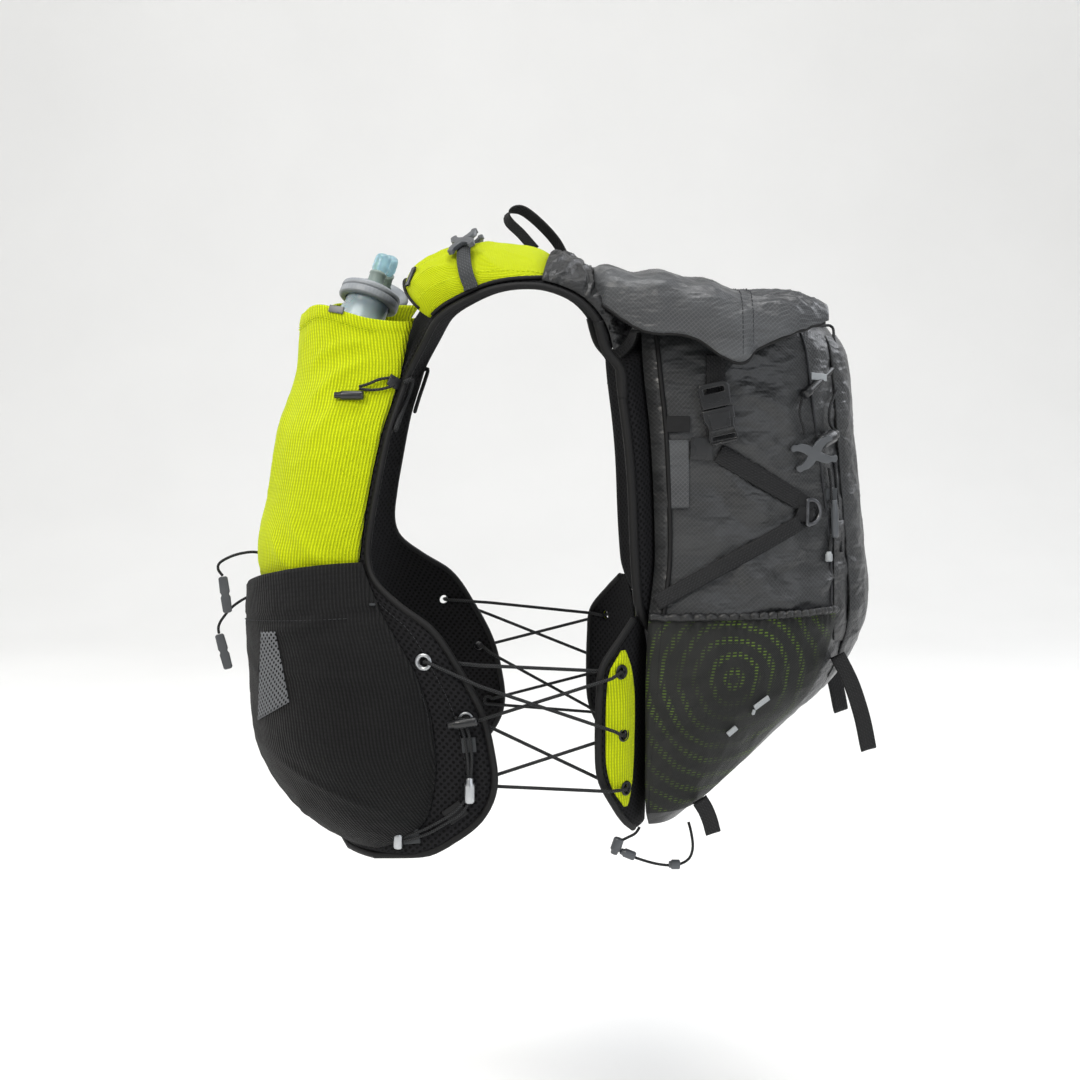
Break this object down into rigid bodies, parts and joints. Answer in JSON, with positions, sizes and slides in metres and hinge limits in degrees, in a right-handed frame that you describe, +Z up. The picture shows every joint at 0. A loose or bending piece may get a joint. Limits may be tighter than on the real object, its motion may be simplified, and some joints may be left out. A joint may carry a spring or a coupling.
{
  "type": "running hydration vest",
  "caption": "Worn running vest with chest pockets for soft bottles, side lacing and a roll-top bag on the back, kept in its worn form.",
  "frame": {"origin": "midway between the shoulders, at the height of the shoulder straps' outer edges, where the vest sits on its wearer", "axes": "+Z up, chest towards -Y, bag towards +Y, the wearer's left side at +X"},
  "size_m": [0.3298, 0.4726, 0.4655],
  "materials": {
    "mesh": "matt black padded air mesh",
    "lime": "ribbed stretch knit",
    "ribbed": "ribbed black stretch knit",
    "ripstop": "coated ripstop nylon",
    "dark_mesh": "fine open mesh",
    "webbing": "woven webbing",
    "grey_webbing": "woven webbing",
    "buckle": "moulded acetal",
    "grey_plastic": "moulded nylon",
    "wire": "dark plated wire",
    "cap": "moulded polypropylene",
    "bottle": "clear soft TPU film",
    "valve": "translucent silicone",
    "cord": "braided elastic cord"
  },
  "bodies": {
    "root": {"back_panel": "mesh", "harness_left": "mesh", "harness_right": "mesh", "side_wing_left": "mesh", "side_wing_right": "mesh", "lens_panel_left": "lime", "lens_panel_right": "lime", "lacing_left": "cord", "lacing_right": "cord", "shoulder_webbing_left": "grey_webbing", "shoulder_webbing_right": "grey_webbing", "shoulder_hook_left": "grey_plastic", "shoulder_hook_right": "grey_plastic", "lace_toggle_left": "buckle", "lace_toggle_right": "buckle", "flask_pocket_left": "lime", "flask_pocket_right": "lime", "chest_pocket_left": "ribbed", "chest_pocket_right": "ribbed", "flask_body_left": "bottle", "flask_body_right": "bottle", "flask_cap_left": "cap", "flask_cap_right": "cap", "bite_valve_left": "valve", "bite_valve_right": "valve", "shoulder_pouch_left": "lime", "shoulder_pouch_right": "lime", "chest_toggle": "buckle", "pull_tab_upper": "grey_plastic", "pull_tab_lower": "grey_plastic", "front_cord_upper": "cord", "front_cord_lower": "cord", "pack_body": "ripstop", "rear_pocket": "ripstop", "mesh_pocket_left": "dark_mesh", "mesh_pocket_right": "dark_mesh", "roll_top": "ripstop", "neck_yoke": "ripstop", "upper_strap_left": "webbing", "upper_strap_right": "webbing", "lower_strap_left": "webbing", "lower_strap_right": "webbing", "buckle_body_left": "buckle", "buckle_body_right": "buckle", "buckle_prong_left": "buckle", "buckle_prong_right": "buckle", "d_ring_left": "wire", "d_ring_right": "wire", "rear_hook_left": "grey_plastic", "rear_hook_right": "grey_plastic", "haul_loop": "webbing", "tail_loop_left": "webbing", "tail_loop_right": "webbing", "pole_loop_left": "webbing", "pole_loop_right": "webbing", "lid_strap_left": "webbing", "lid_strap_right": "webbing", "rear_bungee_left": "cord", "rear_bungee_right": "cord", "bottom_cord": "cord"}
  },
  "joints": []
}
